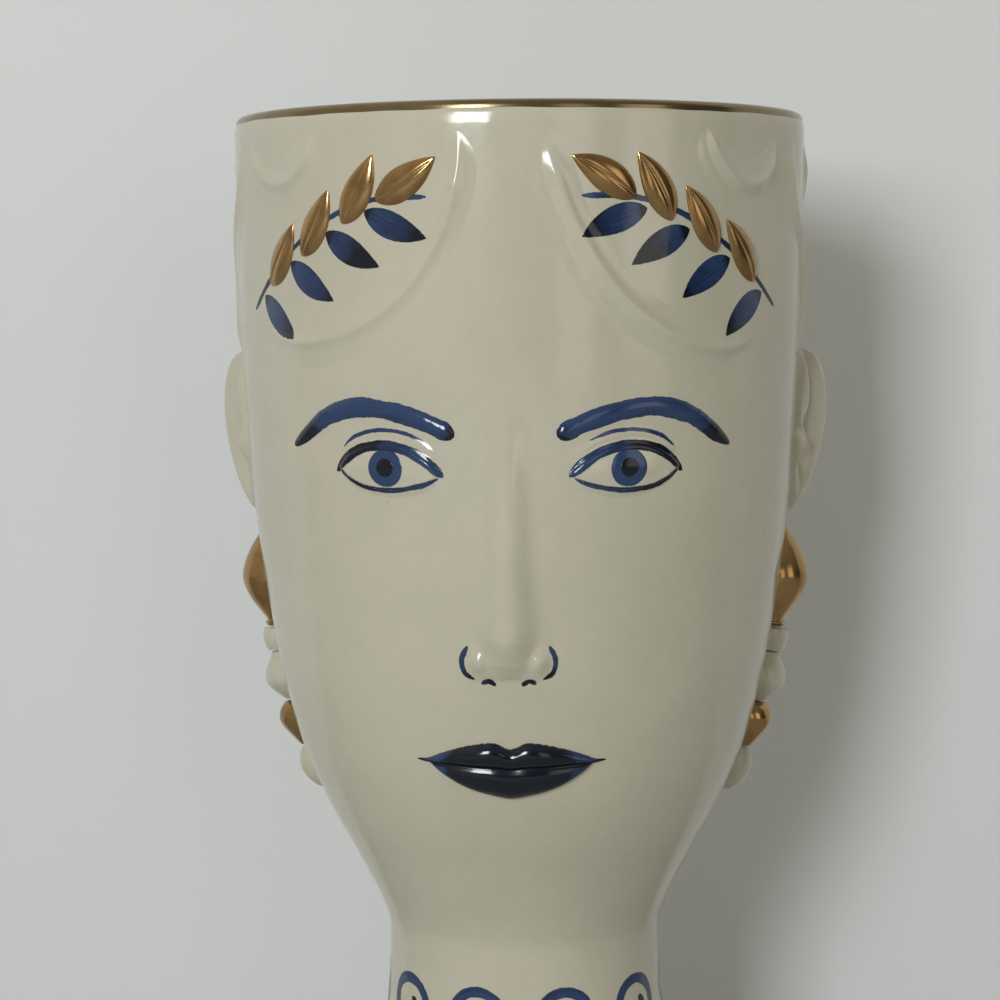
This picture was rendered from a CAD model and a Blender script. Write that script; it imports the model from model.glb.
"""Dresses the CAD frame of a ceramic face vase: glazed wall, modelled relief, brushwork and gold.

All lengths are in metres in the frame's own coordinates: the origin is at the centre of the foot, +Z is
up and the face looks along -Y. A place on the wall is an angle in degrees, counted from the middle of
the face and positive towards +X, and a height.
"""

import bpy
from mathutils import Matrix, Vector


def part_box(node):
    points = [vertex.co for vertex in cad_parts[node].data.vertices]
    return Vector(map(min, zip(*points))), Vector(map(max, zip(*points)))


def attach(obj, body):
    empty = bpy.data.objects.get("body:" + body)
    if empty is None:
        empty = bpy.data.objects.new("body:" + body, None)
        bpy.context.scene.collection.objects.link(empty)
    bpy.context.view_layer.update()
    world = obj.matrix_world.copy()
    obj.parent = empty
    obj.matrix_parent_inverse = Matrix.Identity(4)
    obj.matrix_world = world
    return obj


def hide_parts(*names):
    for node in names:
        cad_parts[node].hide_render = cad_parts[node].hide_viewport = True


bl_info = {
    "name": "Face Vase",
    "version": (1, 0, 0),
    "blender": (4, 5, 0),
    "location": "View3D > Sidebar > Face Vase",
    "description": "Glazed relief, brushwork and gold for a ceramic face vase",
    "category": "Add Mesh",
}

import math

import bmesh
import bpy
import numpy as np
from bpy.props import FloatProperty, FloatVectorProperty, PointerProperty
from mathutils import Matrix

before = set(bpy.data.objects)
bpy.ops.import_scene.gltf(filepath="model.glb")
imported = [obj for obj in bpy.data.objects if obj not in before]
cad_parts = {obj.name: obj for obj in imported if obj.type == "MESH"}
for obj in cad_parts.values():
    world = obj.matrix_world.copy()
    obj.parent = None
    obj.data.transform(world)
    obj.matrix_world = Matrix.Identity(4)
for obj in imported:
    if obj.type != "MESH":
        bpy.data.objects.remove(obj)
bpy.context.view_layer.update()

MM = 0.001
TOTAL_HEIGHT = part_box("rim_band")[1].z
LIP_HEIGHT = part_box("rim_band")[0].z
NECK_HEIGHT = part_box("head_cup")[0].z
RING_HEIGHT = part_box("foot_ring")[1].z
RING_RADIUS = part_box("foot_ring")[1].x
HEAD_HEIGHT = TOTAL_HEIGHT - NECK_HEIGHT
SIDES = {"right": 1, "left": -1}

# The wall's outline: (share of the height, share of the change in radius), from below
HEAD_OUTLINE_SHARES = [
    (0.040, 0.022), (0.117, 0.231), (0.175, 0.412), (0.248, 0.591), (0.320, 0.705),
    (0.393, 0.788), (0.539, 0.900), (0.733, 0.967), (1.000, 1.000),
]
PEDESTAL_OUTLINE_SHARES = [(0.0, 1.0), (0.27, 0.55), (0.54, 0.23), (0.81, 0.053), (1.0, 0.0)]

# How deep the hidden undersides reach into the wall: of painted films, of reliefs, and of ears and beads
FILM_UNDERSIDE, RELIEF_UNDERSIDE, DEEP_UNDERSIDE = 0.12 * MM, 0.5 * MM, 0.8 * MM

# How far under the wall each relief runs out at its edge
EYE_SINK, NOSE_SINK, LIP_SINK, LOCK_SINK = 0.06 * MM, 0.05 * MM, 0.08 * MM, 0.035 * MM

# How far under the gold lip the wall starts to round in
LIP_ROUND_REACH = 2.6 * MM

# The angles of the points round the wall's mesh, and the distance between those along a lock
WALL_ANGLES = np.linspace(0, 360, 288, endpoint=False)
LOCK_STEP = 0.7 * MM

# Depth of the bumps in a glaze, in gold and in the grain of clay and paper
GLAZE_DEPTH, GOLD_DEPTH, GRAIN_DEPTH = 0.22 * MM, 0.18 * MM, 0.2 * MM
GLAZE_IOR = 1.5

# Soft waves of the cast wall: size, waves round the wall, radians of phase up it and at its foot
WALL_WAVES = [(1.0, 3, 9, 0.6), (0.8, 5, -13, 2.1), (0.6, 2, 21, 4.0), (0.4, 9, 17, 1.2)]

# Places on the face, from its three equal parts between hairline and chin
HAIRLINE = TOTAL_HEIGHT - 6 * MM
CHIN = NECK_HEIGHT + 14 * MM
FACE_THIRD = (HAIRLINE - CHIN) / 3
BROW_HEIGHT = HAIRLINE - FACE_THIRD
EYE_HEIGHT = BROW_HEIGHT - 14 * MM
NOSE_BASE = BROW_HEIGHT - FACE_THIRD
NOSE_MIDDLE = NOSE_BASE + FACE_THIRD / 2
MOUTH_HEIGHT = NOSE_BASE - FACE_THIRD / 3
EYE_SHARE = 2 / 5  # one eye width from the middle, as a share of half the face, which is five eyes wide
EYE_ANGLE = math.degrees(math.asin(EYE_SHARE))
EAR_ANGLE = 96.0
EAR_HEIGHT = NECK_HEIGHT + HEAD_HEIGHT * 0.625

# Routes of the locks on the right side, as (angle, share of the head's height)
LOCK_ROUTE_SHARES = {
    "parting_lock": [(8, 0.972), (9, 0.92), (13, 0.855), (21, 0.79), (32, 0.75), (45, 0.736), (57, 0.75)],
    "crown_lock": [(40, 0.975), (42, 0.94), (49, 0.915), (57, 0.925), (62, 0.965)],
    "temple_lock": [(70, 0.972), (69, 0.93), (73, 0.885), (80, 0.85), (84, 0.80), (81, 0.75), (75, 0.71)],
    "side_lock": [(84, 0.972), (90, 0.935), (97, 0.90), (99, 0.86), (95, 0.815), (100, 0.77), (108, 0.74),
                  (112, 0.69)],
    "nape_lock": [(107, 0.972), (106, 0.925), (112, 0.88), (115, 0.83), (119, 0.77), (123, 0.70),
                  (119, 0.62), (123, 0.54), (119, 0.46)],
    "back_lock": [(128, 0.972), (134, 0.90), (130, 0.82), (137, 0.74), (133, 0.66), (139, 0.58),
                  (135, 0.50), (140, 0.42), (137, 0.34)],
    "inner_back_lock": [(152, 0.972), (157, 0.89), (153, 0.81), (159, 0.73), (155, 0.65), (160, 0.57),
                        (156, 0.49), (160, 0.41), (157, 0.31)],
}
MIDDLE_LOCK_ROUTE_SHARES = [(178, 0.972), (182, 0.89), (178, 0.81), (182, 0.73), (178, 0.65), (182, 0.57),
                            (178, 0.49), (182, 0.41), (179, 0.31)]

# Gold leaves on the right side, as (distance round the wall as a share of a leaf's length, share of the
# head's height, lean in degrees towards the ear)
LEAF_PLACE_SHARES = [(1.25, 0.917, -58.0), (1.93, 0.907, -30.0), (2.63, 0.872, -32.0), (3.33, 0.838, -36.0)]

# Beads from the ear down: name, length, greatest radius and finish
BEADS = [
    ("gold_drop", 26.5 * MM, 8.4 * MM, "gold_lustre"),
    ("collar", 6.0 * MM, 5.6 * MM, "cream_glaze"),
    ("pearl", 13.0 * MM, 7.3 * MM, "cream_glaze"),
    ("gold_bead", 12.2 * MM, 6.6 * MM, "gold_lustre"),
    ("tail_bead", 12.4 * MM, 5.6 * MM, "cream_glaze"),
]

# Their outlines from the bottom up: (share of the length, share of the radius)
BEAD_OUTLINE_SHARES = {
    "gold_drop": [(0.0, 0.48), (0.03, 0.52), (0.055, 0.45), (0.14, 0.59), (0.3, 0.85), (0.46, 0.99),
                  (0.6, 0.93), (0.78, 0.64), (0.92, 0.28), (1.0, 0.07)],
    "collar": [(0.0, 0.88), (0.25, 0.97), (0.5, 1.0), (0.75, 0.98), (1.0, 0.9)],
    "pearl": [(0.0, 0.50), (0.2, 0.80), (0.42, 0.99), (0.68, 0.90), (0.88, 0.68), (1.0, 0.58)],
    "gold_bead": [(0.0, 0.50), (0.22, 0.70), (0.48, 0.93), (0.68, 0.99), (0.88, 0.84), (1.0, 0.60)],
    "tail_bead": [(0.0, 0.16), (0.03, 0.36), (0.1, 0.60), (0.32, 0.88), (0.6, 0.99), (0.84, 0.86),
                  (1.0, 0.62)],
}

# The line of a brow: (distance from the middle as a share of the eye's, rise as a share of the arch)
BROW_LINE_SHARES = [(0.42, -0.25), (0.65, 0.35), (0.95, 0.85), (1.25, 1.0), (1.52, 0.55), (1.72, -0.3),
                    (1.86, -0.9)]

# The nose from its base up: the height of its ridge and half its width, each as (share of its length, mm)
NOSE_RIDGE = [(-0.1, 0.0), (0.0, 0.5), (0.06, 2.3), (0.16, 3.3), (0.3, 3.1), (0.45, 2.6), (0.72, 1.7),
              (0.95, 0.6), (1.1, 0.0)]
NOSE_HALF_WIDTH = [(-0.1, 6.0), (0.05, 5.8), (0.18, 5.9), (0.35, 4.9), (0.6, 4.4), (0.95, 4.0), (1.1, 3.6)]

# Brush strokes of a right eye and of the right half of a nose. Each has its places in mm across and up
# from the middle, half its width in mm, its seed, its two tapers in mm and its wash at both ends.
EYE_STROKES = [
    ([(-13.6, -1.5), (-10.5, 1.5), (-6, 4.3), (0, 5.6), (6, 4.9), (10.5, 2.6), (14.3, -0.9)],
     1.35, 11, (4, 5), (0.25, 0.85)),
    ([(-12.6, -1.6), (-8, -3.4), (-1, -4.5), (6, -3.9), (10, -2.2), (13.2, -0.2)],
     0.8, 21, (5, 3), (0.3, 0.75)),
    ([(-9.5, 6.6), (-4, 8.6), (2, 9.0), (8, 7.6), (12.0, 4.8)],
     0.6, 31, (6, 6), (0.2, 0.45)),
]
NOSE_STROKES = [
    ([(9.2, 8.4), (10.7, 5.0), (10.0, 1.8), (7.6, 0.2)], 0.75, 51, (2.5, 2.5), (0.25, 0.7)),
    ([(6.4, -0.9), (4.6, -0.1), (2.8, -1.3)], 0.8, 55, (1.5, 1.5), (0.5, 0.8)),
]

# The painted half of a right sprig, as (angle, share of the head's height) and, for a leaf, its lean
SPRIG_STEM_SHARES = [(62.0, 0.775), (53.0, 0.815), (43.0, 0.853), (33.0, 0.882), (24.0, 0.896),
                     (14.0, 0.897)]
SPRIG_LEAF_SHARES = [(20.5, 0.868, -112), (30.0, 0.842, -118), (40.5, 0.808, -122), (51.0, 0.768, -126)]


class FaceVaseSizes(bpy.types.PropertyGroup):
    """Sizes of the vase that the pieces are worked out from."""

    rim_radius: FloatProperty(
        name="Rim radius", description="Outer radius of the mouth", default=70 * MM, unit="LENGTH")
    neck_radius: FloatProperty(
        name="Neck radius", description="Outer radius at the narrowest part",
        default=34.1 * MM, unit="LENGTH")
    foot_radius: FloatProperty(
        name="Foot radius", description="Outer radius of the pedestal's foot",
        default=51 * MM, unit="LENGTH")
    wall: FloatProperty(
        name="Wall", description="Thickness of the fired wall", default=4.2 * MM, unit="LENGTH")
    floor: FloatProperty(
        name="Floor", description="Thickness of the floor inside the foot", default=6.5 * MM, unit="LENGTH")
    lip_round: FloatProperty(
        name="Lip rounding", description="How far the wall rounds in under the gold lip",
        default=0.45 * MM, unit="LENGTH")
    unevenness: FloatProperty(
        name="Unevenness", description="Soft waviness that casting and glazing leave in the wall",
        default=0.12 * MM, unit="LENGTH")
    film: FloatProperty(
        name="Glaze film", description="How far painted glaze stands above the wall",
        default=0.07 * MM, unit="LENGTH")
    lock_height: FloatProperty(
        name="Lock height", description="Height of the locks of hair", default=1.3 * MM, unit="LENGTH")
    lock_width: FloatProperty(
        name="Lock width", description="Half of a lock's width", default=6.0 * MM, unit="LENGTH")
    leaf_length: FloatProperty(
        name="Leaf length", description="Length of a gold leaf", default=18 * MM, unit="LENGTH")
    leaf_width: FloatProperty(
        name="Leaf width", description="Width of a gold leaf", default=7.6 * MM, unit="LENGTH")
    ear_height: FloatProperty(
        name="Ear height", description="Length of an ear from top to lobe", default=43 * MM, unit="LENGTH")
    ear_depth: FloatProperty(
        name="Ear depth", description="Width of an ear from front to back", default=25 * MM, unit="LENGTH")
    ear_proud: FloatProperty(
        name="Ear relief", description="How far an ear's rim stands off the wall",
        default=9.0 * MM, unit="LENGTH")


class FaceVaseColours(bpy.types.PropertyGroup):
    """Colours of the finishes, as linear values."""

    cream: FloatVectorProperty(
        name="Cream glaze", description="Body glaze", subtype="COLOR", default=(0.55, 0.53, 0.43))
    cream_shade: FloatVectorProperty(
        name="Cream shade", description="Thicker body glaze", subtype="COLOR", default=(0.49, 0.475, 0.38))
    speck: FloatVectorProperty(
        name="Speck", description="Iron specks in the glaze", subtype="COLOR", default=(0.25, 0.18, 0.11))
    cobalt: FloatVectorProperty(
        name="Cobalt", description="Plain cobalt glaze", subtype="COLOR", default=(0.009, 0.023, 0.070))
    cobalt_thin: FloatVectorProperty(
        name="Thin cobalt", description="Thinly brushed cobalt", subtype="COLOR",
        default=(0.023, 0.053, 0.138))
    cobalt_deep: FloatVectorProperty(
        name="Deep cobalt", description="Pooled cobalt glaze", subtype="COLOR",
        default=(0.0018, 0.005, 0.014))
    gold: FloatVectorProperty(
        name="Gold lustre", description="Fired gold", subtype="COLOR", default=(0.44, 0.28, 0.125))
    gold_worn: FloatVectorProperty(
        name="Worn gold", description="Thin or rubbed gold", subtype="COLOR", default=(0.24, 0.14, 0.06))
    gold_thin: FloatVectorProperty(
        name="Thin gold", description="Gold brushed thinly on the lip", subtype="COLOR",
        default=(0.22, 0.19, 0.12))
    clay: FloatVectorProperty(
        name="Bare clay", description="Unglazed clay under the foot", subtype="COLOR",
        default=(0.55, 0.47, 0.36))
    backdrop: FloatVectorProperty(
        name="Backdrop", description="Air past the paper, as the camera sees it", subtype="COLOR",
        default=(0.60, 0.63, 0.62))
    paper: FloatVectorProperty(
        name="Paper", description="Pale paper behind the vase", subtype="COLOR", default=(0.76, 0.79, 0.81))
    ground: FloatVectorProperty(
        name="Floor", description="Pale paper under the vase", subtype="COLOR", default=(0.50, 0.50, 0.48))


def around_axis(radius, turn, height):
    """Points at a radius and a turn, in radians, round the vase's axis."""
    radius, turn, height = np.broadcast_arrays(radius, turn, height)
    return np.stack([radius * np.sin(turn), -radius * np.cos(turn), height], -1)


class Wall:
    """The outer form of the vase, with the low relief that painted glaze lies on."""

    def __init__(self, sizes):
        neck, rim, foot = sizes.neck_radius, sizes.rim_radius, sizes.foot_radius
        stations = [
            (RING_HEIGHT + (NECK_HEIGHT - RING_HEIGHT) * climb, neck + (foot - neck) * swell)
            for climb, swell in PEDESTAL_OUTLINE_SHARES
        ] + [
            (NECK_HEIGHT + HEAD_HEIGHT * climb, neck + (rim - neck) * swell)
            for climb, swell in HEAD_OUTLINE_SHARES
        ]
        self.heights, self.radii = np.array(stations).T
        order = np.arange(len(stations))
        before, after = np.maximum(order - 1, 0), np.minimum(order + 1, order[-1])
        self.slopes = (self.radii[after] - self.radii[before]) / (self.heights[after] - self.heights[before])
        self.lip_round = sizes.lip_round
        self.unevenness = sizes.unevenness
        self.reliefs = []

    def radius(self, height):
        """The outer radius at a height, on smooth cubics between the stations."""
        height = np.clip(height, self.heights[0], self.heights[-1])
        i = np.clip(np.searchsorted(self.heights, height, side="right") - 1, 0, len(self.heights) - 2)
        span = self.heights[i + 1] - self.heights[i]
        t = (height - self.heights[i]) / span
        return (
            self.radii[i] * (1 + 2 * t) * (1 - t) ** 2
            + self.radii[i + 1] * t * t * (3 - 2 * t)
            + span * self.slopes[i] * t * (1 - t) ** 2
            - span * self.slopes[i + 1] * t * t * (1 - t)
        )

    def slope(self, height):
        """The change of radius per unit of height."""
        return (self.radius(height + MM) - self.radius(height - MM)) / (2 * MM)

    def dip(self, angle, height):
        """How far the glazed surface lies inside the plain outline: unevenness and the rounded lip."""
        turn, climb = np.radians(angle), height / TOTAL_HEIGHT
        wave = sum(size * np.sin(turns * turn + climbs * climb + phase)
                   for size, turns, climbs, phase in WALL_WAVES)
        span = 2 * sum(size for size, *_ in WALL_WAVES)
        lip = np.clip((height - LIP_HEIGHT + LIP_ROUND_REACH) / LIP_ROUND_REACH, 0, 1)
        return self.unevenness * (0.5 + wave / span) + self.lip_round * lip ** 2.2

    def point(self, angle, height, lift=0.0):
        """Points on the glazed wall, lifted off it along its normal."""
        slope = self.slope(height)
        tilt = np.hypot(1, slope)
        out = lift - self.dip(angle, height)
        return around_axis(self.radius(height) + out / tilt, np.radians(angle), height - out * slope / tilt)

    def moved(self, angle, height, across, up):
        """The place reached from one on the wall by going across it and up it."""
        height = height + up / np.hypot(1, self.slope(height))
        return angle + np.degrees(across / self.radius(height)), height

    def place(self, angle, height, across, up):
        """One such place, as two plain numbers."""
        return tuple(float(v) for v in self.moved(angle, height, across, up))

    def line(self, angle, height, places, sign=1):
        """A route on the wall through places given in mm across and up from one on it."""
        return [self.place(angle, height, sign * across * MM, up * MM) for across, up in places]

    def relief(self, angle, height):
        """How far the modelled relief stands off the wall."""
        lift = np.zeros(np.broadcast(angle, height).shape)
        for form in self.reliefs:
            lift = np.maximum(lift, form(angle, height))
        return lift

    def normal(self, angle, height):
        """The unit normal of the wall and the relief on it, from places a little way each side."""
        aside, above = 0.2, 0.25 * MM

        def spot(a, h):
            return self.point(a, h, self.relief(a, h))
        along = spot(angle + aside, height) - spot(angle - aside, height)
        up = spot(angle, height + above) - spot(angle, height - above)
        normal = np.cross(along, up)
        return normal / np.linalg.norm(normal, axis=-1, keepdims=True)

    def walk_down(self, height, length):
        """The height reached by walking a length down the wall."""
        steps = 24
        for _ in range(steps):
            height = height - length / steps / np.hypot(1, self.slope(height))
        return float(height)


def smooth(low, high, value):
    """A soft step from 0 to 1 as a value goes from low to high."""
    t = np.clip((value - low) / (high - low), 0, 1)
    return t * t * (3 - 2 * t)


def bell(value, width):
    """A soft bump of height 1."""
    return np.exp(-(value / width) ** 2)


def soft_max(a, b, blend):
    """The larger of two heights, rounded where they meet."""
    gap = np.clip(0.5 + 0.5 * (a - b) / blend, 0, 1)
    return a * gap + b * (1 - gap) + blend * gap * (1 - gap)


def curve_through(points, parts=10):
    """A dense smooth line through some points."""
    points = np.array(points, float)
    padded = np.vstack([2 * points[0] - points[1], points, 2 * points[-1] - points[-2]])
    dense = []
    for a, b, c, d in zip(padded, padded[1:], padded[2:], padded[3:]):
        for k in range(parts):
            t = k / parts
            dense.append(b + ((c - a) * t + (2 * a - 5 * b + 4 * c - d) * t * t
                              + (3 * b - a - 3 * c + d) * t ** 3) / 2)
    return np.array(dense + [points[-1]])


def lumps(count, seed, spread):
    """A repeatable wandering value along a stroke, between -1 and 1."""
    random = np.random.default_rng(seed)
    knots = random.uniform(-1, 1, max(int(count / spread), 2) + 3)
    place = np.linspace(0, len(knots) - 3.001, count)
    i = place.astype(int)
    t = place - i
    t = t * t * (3 - 2 * t)
    return knots[i] * (1 - t) + knots[i + 1] * t


class Shell:
    """Gathers closed shells for one piece: points, faces, normals and the values painted on points."""

    def __init__(self):
        self.points, self.faces, self.normals = [], [], []
        self.values = {"wash": [], "edge": [], "along": [], "across": []}
        self.count = 0

    def add(self, points, faces, normals=None, **values):
        """Adds a closed mesh to the piece."""
        points = np.asarray(points, float).reshape(-1, 3)
        self.points.append(points)
        self.faces.extend([tuple(i + self.count for i in face) for face in faces])
        self.normals.append(np.zeros_like(points) if normals is None else np.asarray(normals).reshape(-1, 3))
        for key, held in self.values.items():
            value = np.asarray(values.get(key, 0.0), float).ravel()
            held.append(np.resize(value, len(points)) if value.size == 1 else value)
        self.count += len(points)

    def add_slab(self, top, under, normals=None, **values):
        """A closed slab between an upper and a lower grid of points."""
        rows, columns = top.shape[:2]
        size = rows * columns
        index = np.arange(size).reshape(rows, columns)
        a, b, c, d = index[:-1, :-1], index[1:, :-1], index[1:, 1:], index[:-1, 1:]
        upper = np.stack([a, d, c, b], -1).reshape(-1, 4)
        lower = np.stack([a, b, c, d], -1).reshape(-1, 4) + size
        ring = np.concatenate([index[0, :-1], index[:-1, -1], index[-1, :0:-1], index[:0:-1, 0]])
        following = np.roll(ring, -1)
        side = np.stack([ring, ring + size, following + size, following], -1)
        faces = np.vstack([upper, lower, side]).tolist()
        doubled = {key: np.concatenate([np.broadcast_to(value, (rows, columns)).ravel()] * 2)
                   for key, value in values.items()}
        if normals is not None:
            normals = np.vstack([normals.reshape(-1, 3), np.zeros((size, 3))])
        self.add(np.vstack([top.reshape(-1, 3), under.reshape(-1, 3)]), faces, normals, **doubled)

    def add_disc(self, top, under, **values):
        """A closed pad between two polar grids, whose first rows are the middle and last rows the edge."""
        rings, spokes = top.shape[:2]
        points, faces = [], []
        for level, grid in enumerate((top, under)):
            first = level * (1 + (rings - 1) * spokes)
            points.append(grid[0].mean(0, keepdims=True))
            points.append(grid[1:].reshape(-1, 3))
            for j in range(spokes):
                k = (j + 1) % spokes
                faces.append((first, first + 1 + j, first + 1 + k))
                for i in range(rings - 2):
                    low, high = first + 1 + i * spokes, first + 1 + (i + 1) * spokes
                    faces.append((low + j, high + j, high + k, low + k))
        outer = 1 + (rings - 2) * spokes
        under_outer = outer + 1 + (rings - 1) * spokes
        for j in range(spokes):
            k = (j + 1) % spokes
            faces.append((outer + j, under_outer + j, under_outer + k, outer + k))
        spread = {}
        for key, value in values.items():
            value = np.broadcast_to(value, (rings, spokes))
            level = np.concatenate([[value[0].mean()], value[1:].ravel()])
            spread[key] = np.concatenate([level, level])
        self.add(np.vstack(points), faces, **spread)

    def add_rings(self, rings, **values):
        """A closed solid over rings of points in a row, the last joined to the first. A ring with no width
        is a pole."""
        points, rows, poles = [], [], []
        for ring in rings:
            pole = np.ptp(ring, axis=0).max() < 1e-9
            poles.append(pole)
            start = len(points)
            rows.append([start] * len(ring) if pole else list(range(start, start + len(ring))))
            points.extend(ring[:1] if pole else ring)
        faces = []
        for i, low in enumerate(rows):
            following = (i + 1) % len(rows)
            if poles[i] and poles[following]:
                continue
            high = rows[following]
            for j in range(len(low)):
                k = (j + 1) % len(low)
                face = [low[j], low[k], high[k], high[j]]
                faces.append(tuple(p for n, p in enumerate(face) if p != face[n - 1]))
        self.add(np.array(points), faces, **values)

    def piece(self, name, slot, nodes=(), crease=40.0):
        """Makes the object, smooth but for its creases, finishes it and rides it on the frame."""
        mesh = bpy.data.meshes.new(name)
        mesh.from_pydata(np.vstack(self.points), [], self.faces)
        work = bmesh.new()
        work.from_mesh(mesh)
        bmesh.ops.recalc_face_normals(work, faces=work.faces)
        work.to_mesh(mesh)
        work.free()
        for key, held in self.values.items():
            attribute = mesh.attributes.new(key, "FLOAT", "POINT")
            attribute.data.foreach_set("value", np.concatenate(held).astype(np.float32))
        mesh.shade_smooth()
        mesh.set_sharp_from_angle(angle=math.radians(crease))
        normals = np.vstack(self.normals)
        if np.abs(normals).max() > 0:
            mesh.normals_split_custom_set_from_vertices(normals)
        mesh.materials.append(finish(slot))
        piece = link(name, mesh)
        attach(piece, "root")
        if nodes:
            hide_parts(*nodes)


def route_on_wall(wall, route, step):
    """Evenly spaced places along a smooth route, with the direction across the wall and up it."""
    dense = curve_through(route)
    spots = wall.point(dense[:, 0], dense[:, 1])
    travelled = np.concatenate([[0], np.cumsum(np.linalg.norm(np.diff(spots, axis=0), axis=1))])
    count = max(int(round(travelled[-1] / step)), 6) + 1
    wanted = np.linspace(0, travelled[-1], count)
    angle = np.interp(wanted, travelled, dense[:, 0])
    height = np.interp(wanted, travelled, dense[:, 1])
    across = np.radians(np.gradient(angle)) * wall.radius(height)
    up = np.gradient(height) * np.hypot(1, wall.slope(height))
    length = np.hypot(across, up)
    return angle, height, across / length, up / length, wanted


def band_grid(wall, route, half_width, step, columns):
    """A grid of places on the wall along a route: rows go along it and columns from its left to its right.

    half_width is a function of the distance from the start and the route's whole length."""
    angle, height, across, up, travelled = route_on_wall(wall, route, step)
    width = half_width(travelled, travelled[-1])
    side = np.linspace(-1, 1, columns)
    offset = width[:, None] * side[None, :]
    angles, heights = wall.moved(
        angle[:, None], height[:, None], offset * -up[:, None], offset * across[:, None])
    return angles, heights, travelled[:, None], side[None, :], width[:, None]


def brush_width(half_width, start_taper, end_taper, seed=None):
    """The width of a brush stroke that swells from its start and thins to its end."""
    def width(travelled, length):
        grow = np.clip(travelled / max(start_taper, half_width * 0.9), 0, 1)
        fade = np.clip((length - travelled) / max(end_taper, half_width * 0.9), 0, 1)
        shape = np.sqrt(1 - (1 - grow) ** 2) * np.sqrt(1 - (1 - fade) ** 2)
        if seed is not None:
            count = len(travelled)
            shape = shape * (1 + 0.09 * lumps(count, seed, 7) + 0.04 * lumps(count, seed + 7, 2))
        return half_width * np.maximum(shape, 0.04)
    return width


def film_crown(film, share, power, shape):
    """The height of a film over its ground, falling away towards its edge, on a grid of places."""
    crown = film * (1 - share ** power) - 0.3 * film * share ** (2 * power)
    return np.broadcast_to(crown, shape)[..., None]


def add_film(shell, wall, film, band, wash, margin=0.0):
    """Adds a film of glaze over a band of places. Wash is its tone along the band, and a margin keeps its
    edge full where it lies over other glaze."""
    angles, heights, travelled, side, widths = band
    normals = wall.normal(angles, heights)
    ground = wall.point(angles, heights, wall.relief(angles, heights))
    shell.add_slab(ground + normals * film_crown(film, side, 4, angles.shape),
                   ground - normals * FILM_UNDERSIDE, normals, wash=wash,
                   edge=(1 - np.abs(side)) * widths / MM + margin, along=travelled / MM,
                   across=side * widths / MM)


def add_stroke(shell, wall, film, route, half_width, seed, tapers, wash, margin=0.0):
    """Adds one brush stroke of glaze. Wash is its tone at the start and at the end."""
    band = band_grid(wall, route, brush_width(half_width, *tapers, seed), 0.55 * MM, 11)
    share = band[2] / band[2][-1]
    add_film(shell, wall, film, band, wash[0] + (wash[1] - wash[0]) * share, margin)


def add_strokes(shell, wall, film, strokes, angle, height, sign):
    """Adds the strokes of a table round a place on the wall, mirrored for a negative sign."""
    for places, half_width, seed, tapers, wash in strokes:
        add_stroke(shell, wall, film, wall.line(angle, height, places, sign), half_width * MM, seed + sign,
                   [taper * MM for taper in tapers], wash)


def add_spot(shell, wall, film, place, reach, wash, base=0.0, margin=0.0, cut=0.0):
    """Adds a filled round spot of glaze on a base of other glaze, with its top cut off under a lid."""
    turn = np.linspace(0, 2 * math.pi, 40, endpoint=False)
    share = np.linspace(0, 1, 12)[:, None]
    across, up = reach * np.cos(turn), np.minimum(reach * np.sin(turn), reach - cut)
    angles, heights = wall.moved(*place, share * across, share * up)
    normals = wall.normal(angles, heights)
    ground = wall.point(angles, heights, wall.relief(angles, heights) + base)
    size = float(np.hypot(across, up).mean())
    shell.add_disc(ground + normals * film_crown(film, share, 6, angles.shape),
                   ground - normals * FILM_UNDERSIDE, wash=wash, edge=(1 - share) * size / MM + margin,
                   along=share * size / MM, across=0.0)


def local_form(wall, angle, height, form):
    """Makes a relief form, given in distances across and up the wall from its middle, one of places."""
    radius = float(wall.radius(height))
    tilt = float(np.hypot(1, wall.slope(height)))

    def at(angles, heights):
        return form(np.radians(angles - angle) * radius, (heights - height) * tilt)
    return at


def relief_grid(wall, angle, height, half_across, half_up, step):
    """A grid of places on the wall around a middle, with its distances across and up."""
    radius = float(wall.radius(height))
    tilt = float(np.hypot(1, wall.slope(height)))
    across = np.linspace(-half_across, half_across, int(2 * half_across / step) + 1)
    up = np.linspace(-half_up, half_up, int(2 * half_up / step) + 1)
    across, up = np.meshgrid(across, up, indexing="ij")
    return angle + np.degrees(across / radius), height + up / tilt, across, up


def relief_shell(wall, grid, lift):
    """A shell with a moulded relief on a grid, which runs out just under the wall all round."""
    angles, heights = grid[:2]
    under = wall.point(angles, heights, np.minimum(lift, 0) - RELIEF_UNDERSIDE)
    shell = Shell()
    shell.add_slab(wall.point(angles, heights, lift), under)
    return shell


def raised_shell(wall, angles, heights, lift, **values):
    """A shell with a raised form on a band of places, whose underside lies just inside the wall."""
    top, under = wall.point(angles, heights, lift), wall.point(angles, heights, -RELIEF_UNDERSIDE)
    shell = Shell()
    shell.add_slab(top, under, **values)
    return shell


class Wire:
    """One output of a shader node: an expression on it adds the nodes that work it out."""

    def __init__(self, tree, socket):
        self.tree, self.socket = tree, socket

    def math(self, operation, first, second, clamp=False):
        return self.tree.add("ShaderNodeMath", {"operation": operation, "use_clamp": clamp}, [first, second])

    def __add__(self, other):
        return self.math("ADD", self, other)

    def __radd__(self, other):
        return self.math("ADD", other, self)

    def __sub__(self, other):
        return self.math("SUBTRACT", self, other)

    def __rsub__(self, other):
        return self.math("SUBTRACT", other, self)

    def __mul__(self, other):
        return self.math("MULTIPLY", self, other)

    def __rmul__(self, other):
        return self.math("MULTIPLY", other, self)

    def __truediv__(self, other):
        return self.math("DIVIDE", self, other)

    def __pow__(self, other):
        return self.math("POWER", self, other)

    def held(self):
        """The value, kept between 0 and 1."""
        return self.math("ADD", self, 0.0, clamp=True)


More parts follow.
